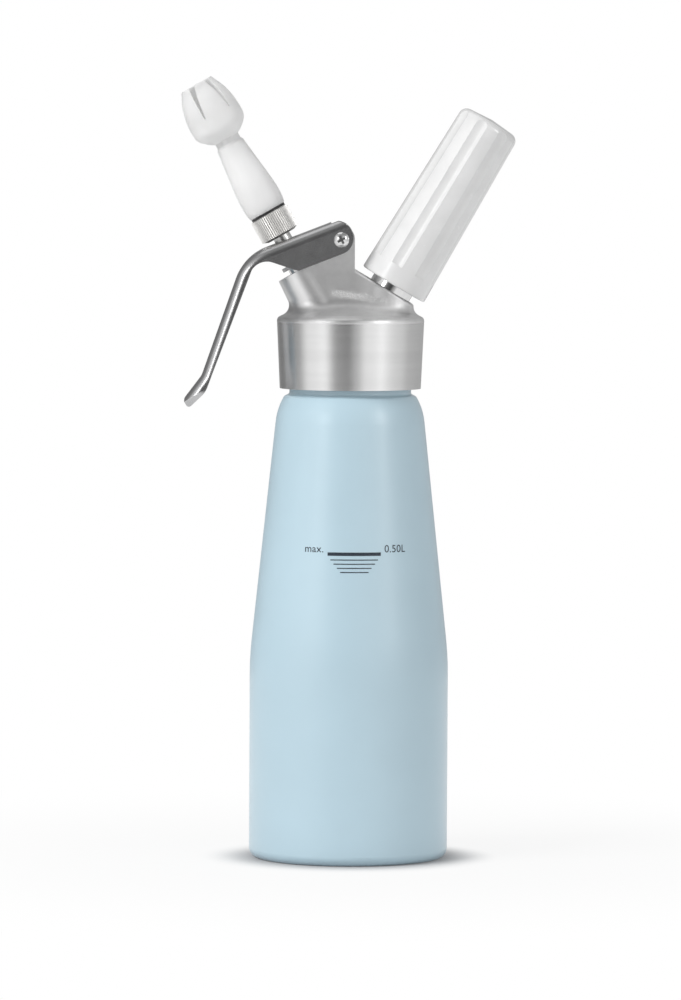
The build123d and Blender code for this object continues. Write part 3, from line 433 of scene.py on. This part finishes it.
ink = Look("mark_ink", (0.03, 0.04, 0.055), 0.5, Specular_IOR_Level=0.3)
ink_wear = ink.noise(1800, detail=3.0)
ink.feed("Base Color", ink.blend(ink.span(ink_wear, 0.35, 0.7), (0.022, 0.03, 0.042),
                                 (0.045, 0.058, 0.078)))
ink.rough_from(ink_wear, 0.08)
ink.bump(ink_wear, 4 * UM)


def wall_radius(z):
    return BOTTLE_R - CONE_SLOPE * max(z - CONE_START, 0)


def wrapped(name, mesh):
    """Lay a flat mesh, X along the wall and Z up, on the bottle's front."""
    for vertex in mesh.vertices:
        x, y, z = vertex.co
        radius = wall_radius(z) + INK_LIFT - y
        angle = x / wall_radius(z)
        vertex.co = (radius * sin(angle), -radius * cos(angle), z)
    piece = placed(name, mesh)
    mesh.materials.clear()
    mesh.materials.append(ink.material)
    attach(piece, "bottle")


def strip(name, width, middle, thickness):
    """A printed line across the middle of the mark."""
    low, high = middle - thickness / 2, middle + thickness / 2
    verts, faces = [], []
    for k in range(LINE_PARTS + 1):
        x = MARK_X - width / 2 + width * k / LINE_PARTS
        verts += [(x, 0, low), (x, 0, high), (x, -INK_DEPTH, high), (x, -INK_DEPTH, low)]
    for k in range(LINE_PARTS):
        a, b = 4 * k, 4 * k + 4
        faces += [(a + j, a + (j + 1) % 4, b + (j + 1) % 4, b + j) for j in range(4)]
    faces += [(3, 2, 1, 0), tuple(4 * LINE_PARTS + j for j in range(4))]
    mesh = bpy.data.meshes.new(name)
    mesh.from_pydata(verts, [], faces)
    mesh.validate()
    wrapped(name, mesh)


def word(name, text, x, side):
    """Words beside the bar; side -1 ends at x, side 1 starts there."""
    curve = bpy.data.curves.new(name, "FONT")
    curve.body = text
    curve.size = WORD_SIZE
    curve.align_x = "RIGHT" if side < 0 else "LEFT"
    curve.extrude = INK_DEPTH / 2
    curve.space_character = LETTER_SPACING
    writer = placed(name + "_flat", curve)
    bpy.context.view_layer.update()
    mesh = bpy.data.meshes.new_from_object(writer.evaluated_get(
        bpy.context.evaluated_depsgraph_get()))
    bpy.data.objects.remove(writer)
    mesh.transform(Matrix.Translation((x, 0, MARK_Z + WORD_FOOT))
                   @ Matrix.Rotation(pi / 2, 4, "X"))
    wrapped(name, mesh)


strip("fill_mark_bar", BAR_WIDTH, MARK_Z, BAR_HEIGHT)
for k, width in enumerate(LINES, start=1):
    strip("fill_mark_line_" + str(k), width, MARK_Z - BAR_HEIGHT / 2 - LINE_STEP * k, LINE_HEIGHT)
word("fill_mark_limit", "max.", MARK_X - BAR_WIDTH / 2 - WORD_GAP, -1)
word("fill_mark_litres", "0.50L", MARK_X + BAR_WIDTH / 2 + WORD_GAP, 1)

# ---------------------------------------------------------------- floor
# A round pale table; it fades into the white background, so only the shadow shows
FLOOR_R = 0.9
FLOOR_SIDES = 96
PAPER = grey(0.85)
PAINTED_CONTACT_SHADE = (0.50, 0.50, 0.51)
CONTACT_START = 37 * MM         # the contact shadow, partly painted into the paper's colour, is darkest at the foot of the bottle
SHADE_END = 56 * MM             # the painted shadow ends and the paper has its own colour from here
CONTACT_END = 60 * MM           # the contact shadow ends here, and the wide shadow starts
SHADOW_END = 280 * MM           # from here the table is as bright as the background
CONTACT_GLOW = 0.12             # share of plain white at the foot, and at the contact's end
SHADOW_GLOW = 0.88

floor_mesh = bpy.data.meshes.new("floor")
floor_mesh.from_pydata([(FLOOR_R * cos(2 * pi * k / FLOOR_SIDES),
                         FLOOR_R * sin(2 * pi * k / FLOOR_SIDES), 0) for k in range(FLOOR_SIDES)],
                       [], [tuple(range(FLOOR_SIDES))])
floor = placed("floor", floor_mesh)
paper = Look("floor_white", PAPER, 0.8, Specular_IOR_Level=0.1)
# The plain white shows to the camera and in reflections, but doesn't light the object
glow = paper.node("ShaderNodeEmission")
rays = paper.node("ShaderNodeLightPath")
seen = paper.math("MAXIMUM", rays.outputs["Is Camera Ray"], rays.outputs["Is Glossy Ray"])
away = paper.node("ShaderNodeVectorMath", [(0, paper.place)], operation="LENGTH").outputs["Value"]
# Painted shadow: the paper's colour darkens towards the bottle's foot
paper.feed("Base Color", paper.blend(paper.span(away, CONTACT_START, SHADE_END),
                                     PAINTED_CONTACT_SHADE, PAPER))
contact = paper.span(away, CONTACT_START, CONTACT_END, CONTACT_GLOW, 1.0)
shadow = paper.span(away, CONTACT_END, SHADOW_END, SHADOW_GLOW, 1.0)
fade = paper.math("MULTIPLY", contact, shadow)
both = paper.node("ShaderNodeMixShader", [(0, paper.math("MULTIPLY", fade, seen)),
                                          (1, paper.shader.outputs[0]), (2, glow.outputs[0])])
paper.tree.links.new(both.outputs[0], paper.tree.nodes["Material Output"].inputs["Surface"])
floor_mesh.materials.append(paper.material)

# ---------------------------------------------------------------- world: a white studio
# Reflector panels stand to the left and to the right, with a dark gap where the camera is
PANELS = (                      # direction in degrees from the camera, + to the right; level
    (-180, 0.42), (-146, 0.22), (-112, 0.30), (-92, 0.36), (-70, 0.95), (-44, 1.0), (-20, 0.16),
    (-3, 0.06), (9, 0.40), (26, 0.95), (52, 0.95), (84, 0.72), (110, 0.50), (180, 0.42))
OVERHEAD = 0.34
OVERHEAD_FROM = 0.45            # sines of the heights between which the overhead light takes over
OVERHEAD_TO = 0.85
world = bpy.data.worlds.new("studio")
bpy.context.scene.world = world
world.use_nodes = True
world.node_tree.nodes.clear()


def sky_node(kind, *feeds, **settings):
    return add_node(world.node_tree, kind, feeds, **settings)


split = sky_node("ShaderNodeSeparateXYZ",
                 (0, sky_node("ShaderNodeTexCoord").outputs["Generated"]))
toward = sky_node("ShaderNodeMath", (0, split.outputs["Y"]), (1, -1.0), operation="MULTIPLY")
bearing = sky_node("ShaderNodeMath", (0, split.outputs["X"]), (1, toward.outputs[0]),
                   operation="ARCTAN2")
turn = sky_node("ShaderNodeMapRange", ("Value", bearing.outputs[0]), ("From Min", -pi),
                ("From Max", pi))
panels = sky_node("ShaderNodeValToRGB", ("Fac", turn.outputs[0]))
panels.color_ramp.interpolation = "EASE"
stops = panels.color_ramp.elements
for k, (degrees_right, level) in enumerate(PANELS):
    place = degrees_right / 360 + 0.5
    stop = stops[k] if k < 2 else stops.new(place)      # a new ramp has two stops already
    stop.position = place
    stop.color = (*grey(level), 1)
overhead = sky_node("ShaderNodeMapRange", ("Value", split.outputs["Z"]),
                    ("From Min", OVERHEAD_FROM), ("From Max", OVERHEAD_TO),
                    interpolation_type="SMOOTHSTEP")
dome = sky_node("ShaderNodeMix", ("Factor", overhead.outputs[0]), (6, panels.outputs[0]),
                (7, (*grey(OVERHEAD), 1)), data_type="RGBA")
sky = sky_node("ShaderNodeBackground", ("Color", dome.outputs[2]))
# The camera sees plain white, and everything else sees the panels
white = sky_node("ShaderNodeBackground", ("Color", (1, 1, 1, 1)))
mixed = sky_node("ShaderNodeMixShader",
                 (0, sky_node("ShaderNodeLightPath").outputs["Is Camera Ray"]),
                 (1, sky.outputs[0]), (2, white.outputs[0]))
sky_node("ShaderNodeOutputWorld", ("Surface", mixed.outputs[0]))

# ---------------------------------------------------------------- lamps
LAMP_AIM = Vector((0, 0, 0.17))
LAMPS = (       # name, place, size, watts, the kind of ray that doesn't meet it
    ("key_left", (-1.2, -0.95, 1.35), (0.9, 0.9), 22, "glossy"),
    ("fill_right", (1.6, -1.3, 0.8), (0.9, 0.9), 3.5, "glossy"),
    ("glint_left", (-1.42, -1.58, 0.85), (0.6, 0.6), 4, "diffuse"),
    ("glint_right", (1.55, -1.25, 0.95), (0.35, 0.9), 7, "diffuse"),
    ("top", (-0.3, 0.1, 1.7), (1.2, 1.0), 2.5, None))
for name, place, size, watts, unseen in LAMPS:
    lamp = placed(name, bpy.data.lights.new(name, "AREA"))
    lamp.data.shape = "RECTANGLE"
    lamp.data.size, lamp.data.size_y = size
    lamp.data.energy = watts
    lamp.location = place
    lamp.rotation_mode = "QUATERNION"
    lamp.rotation_quaternion = (LAMP_AIM - Vector(place)).to_track_quat("-Z", "Y")
    lamp.visible_glossy = unseen != "glossy"
    lamp.visible_diffuse = unseen != "diffuse"
